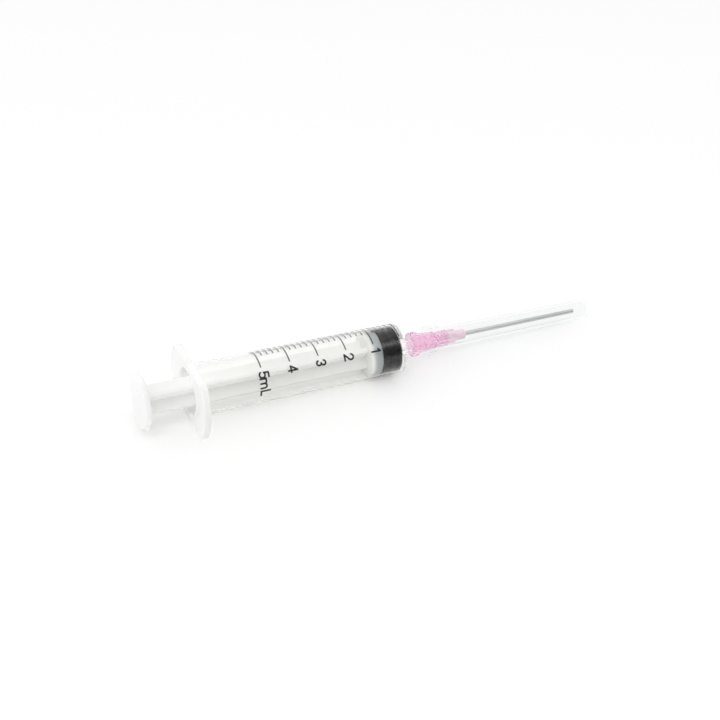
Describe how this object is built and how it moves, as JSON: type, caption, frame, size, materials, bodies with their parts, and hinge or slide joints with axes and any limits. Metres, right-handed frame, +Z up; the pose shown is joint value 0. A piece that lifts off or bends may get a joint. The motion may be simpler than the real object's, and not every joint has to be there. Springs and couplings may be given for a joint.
{
  "type": "syringe with needle",
  "caption": "Slip-tip syringe with a printed scale, finger flange, ribbed plunger and rubber stopper, and a blunt needle on a coloured hub under a clear sheath.",
  "frame": {"origin": "bottom centre of the whole part's box as it lies at rest, on the surface that carries it", "axes": "+X toward the needle along the syringe's length (its axis dips 1.51 degrees toward +X), +Z up, -Y the side that the numbers face; the finger flange's flats lie at the top and bottom"},
  "size_m": [0.1378, 0.027, 0.017],
  "materials": {
    "barrel_plastic": "translucent, smooth",
    "plunger_plastic": "milky, smooth",
    "stopper_rubber": "siliconed, semi-gloss",
    "hub_plastic": "translucent pink, smooth",
    "cannula_steel": "drawn, satin",
    "glue": "clear, glossy",
    "sheath_plastic": "clear, smooth",
    "scale_ink": "matte black ink"
  },
  "bodies": {
    "barrel": {"barrel": "barrel_plastic", "scale_marks": "scale_ink", "scale_numerals": "scale_ink"},
    "stopper": {"stopper": "stopper_rubber"},
    "plunger_rod": {"plunger_rod": "plunger_plastic"},
    "needle": {"needle_hub": "hub_plastic", "cannula": "cannula_steel", "cannula_adhesive": "glue"},
    "sheath": {"needle_sheath": "sheath_plastic"}
  },
  "joints": [
    {"name": "plunger_slide", "type": "slide", "parent": "barrel", "child": "stopper", "axis": [-0.9997, 0, 0.0263], "range_m": [0, 0.045]},
    {"name": "plunger_spin", "type": "hinge", "parent": "stopper", "child": "plunger_rod", "pos_m": [-0.05534, 0, 0.00854], "axis": [0.9997, 0, -0.0263], "continuous": true},
    {"name": "needle_pull", "type": "slide", "parent": "barrel", "child": "needle", "axis": [0.9997, 0, -0.0263], "range_m": [0, 0.015]},
    {"name": "sheath_pull", "type": "slide", "parent": "needle", "child": "sheath", "axis": [0.9997, 0, -0.0263], "range_m": [0, 0.055]}
  ]
}
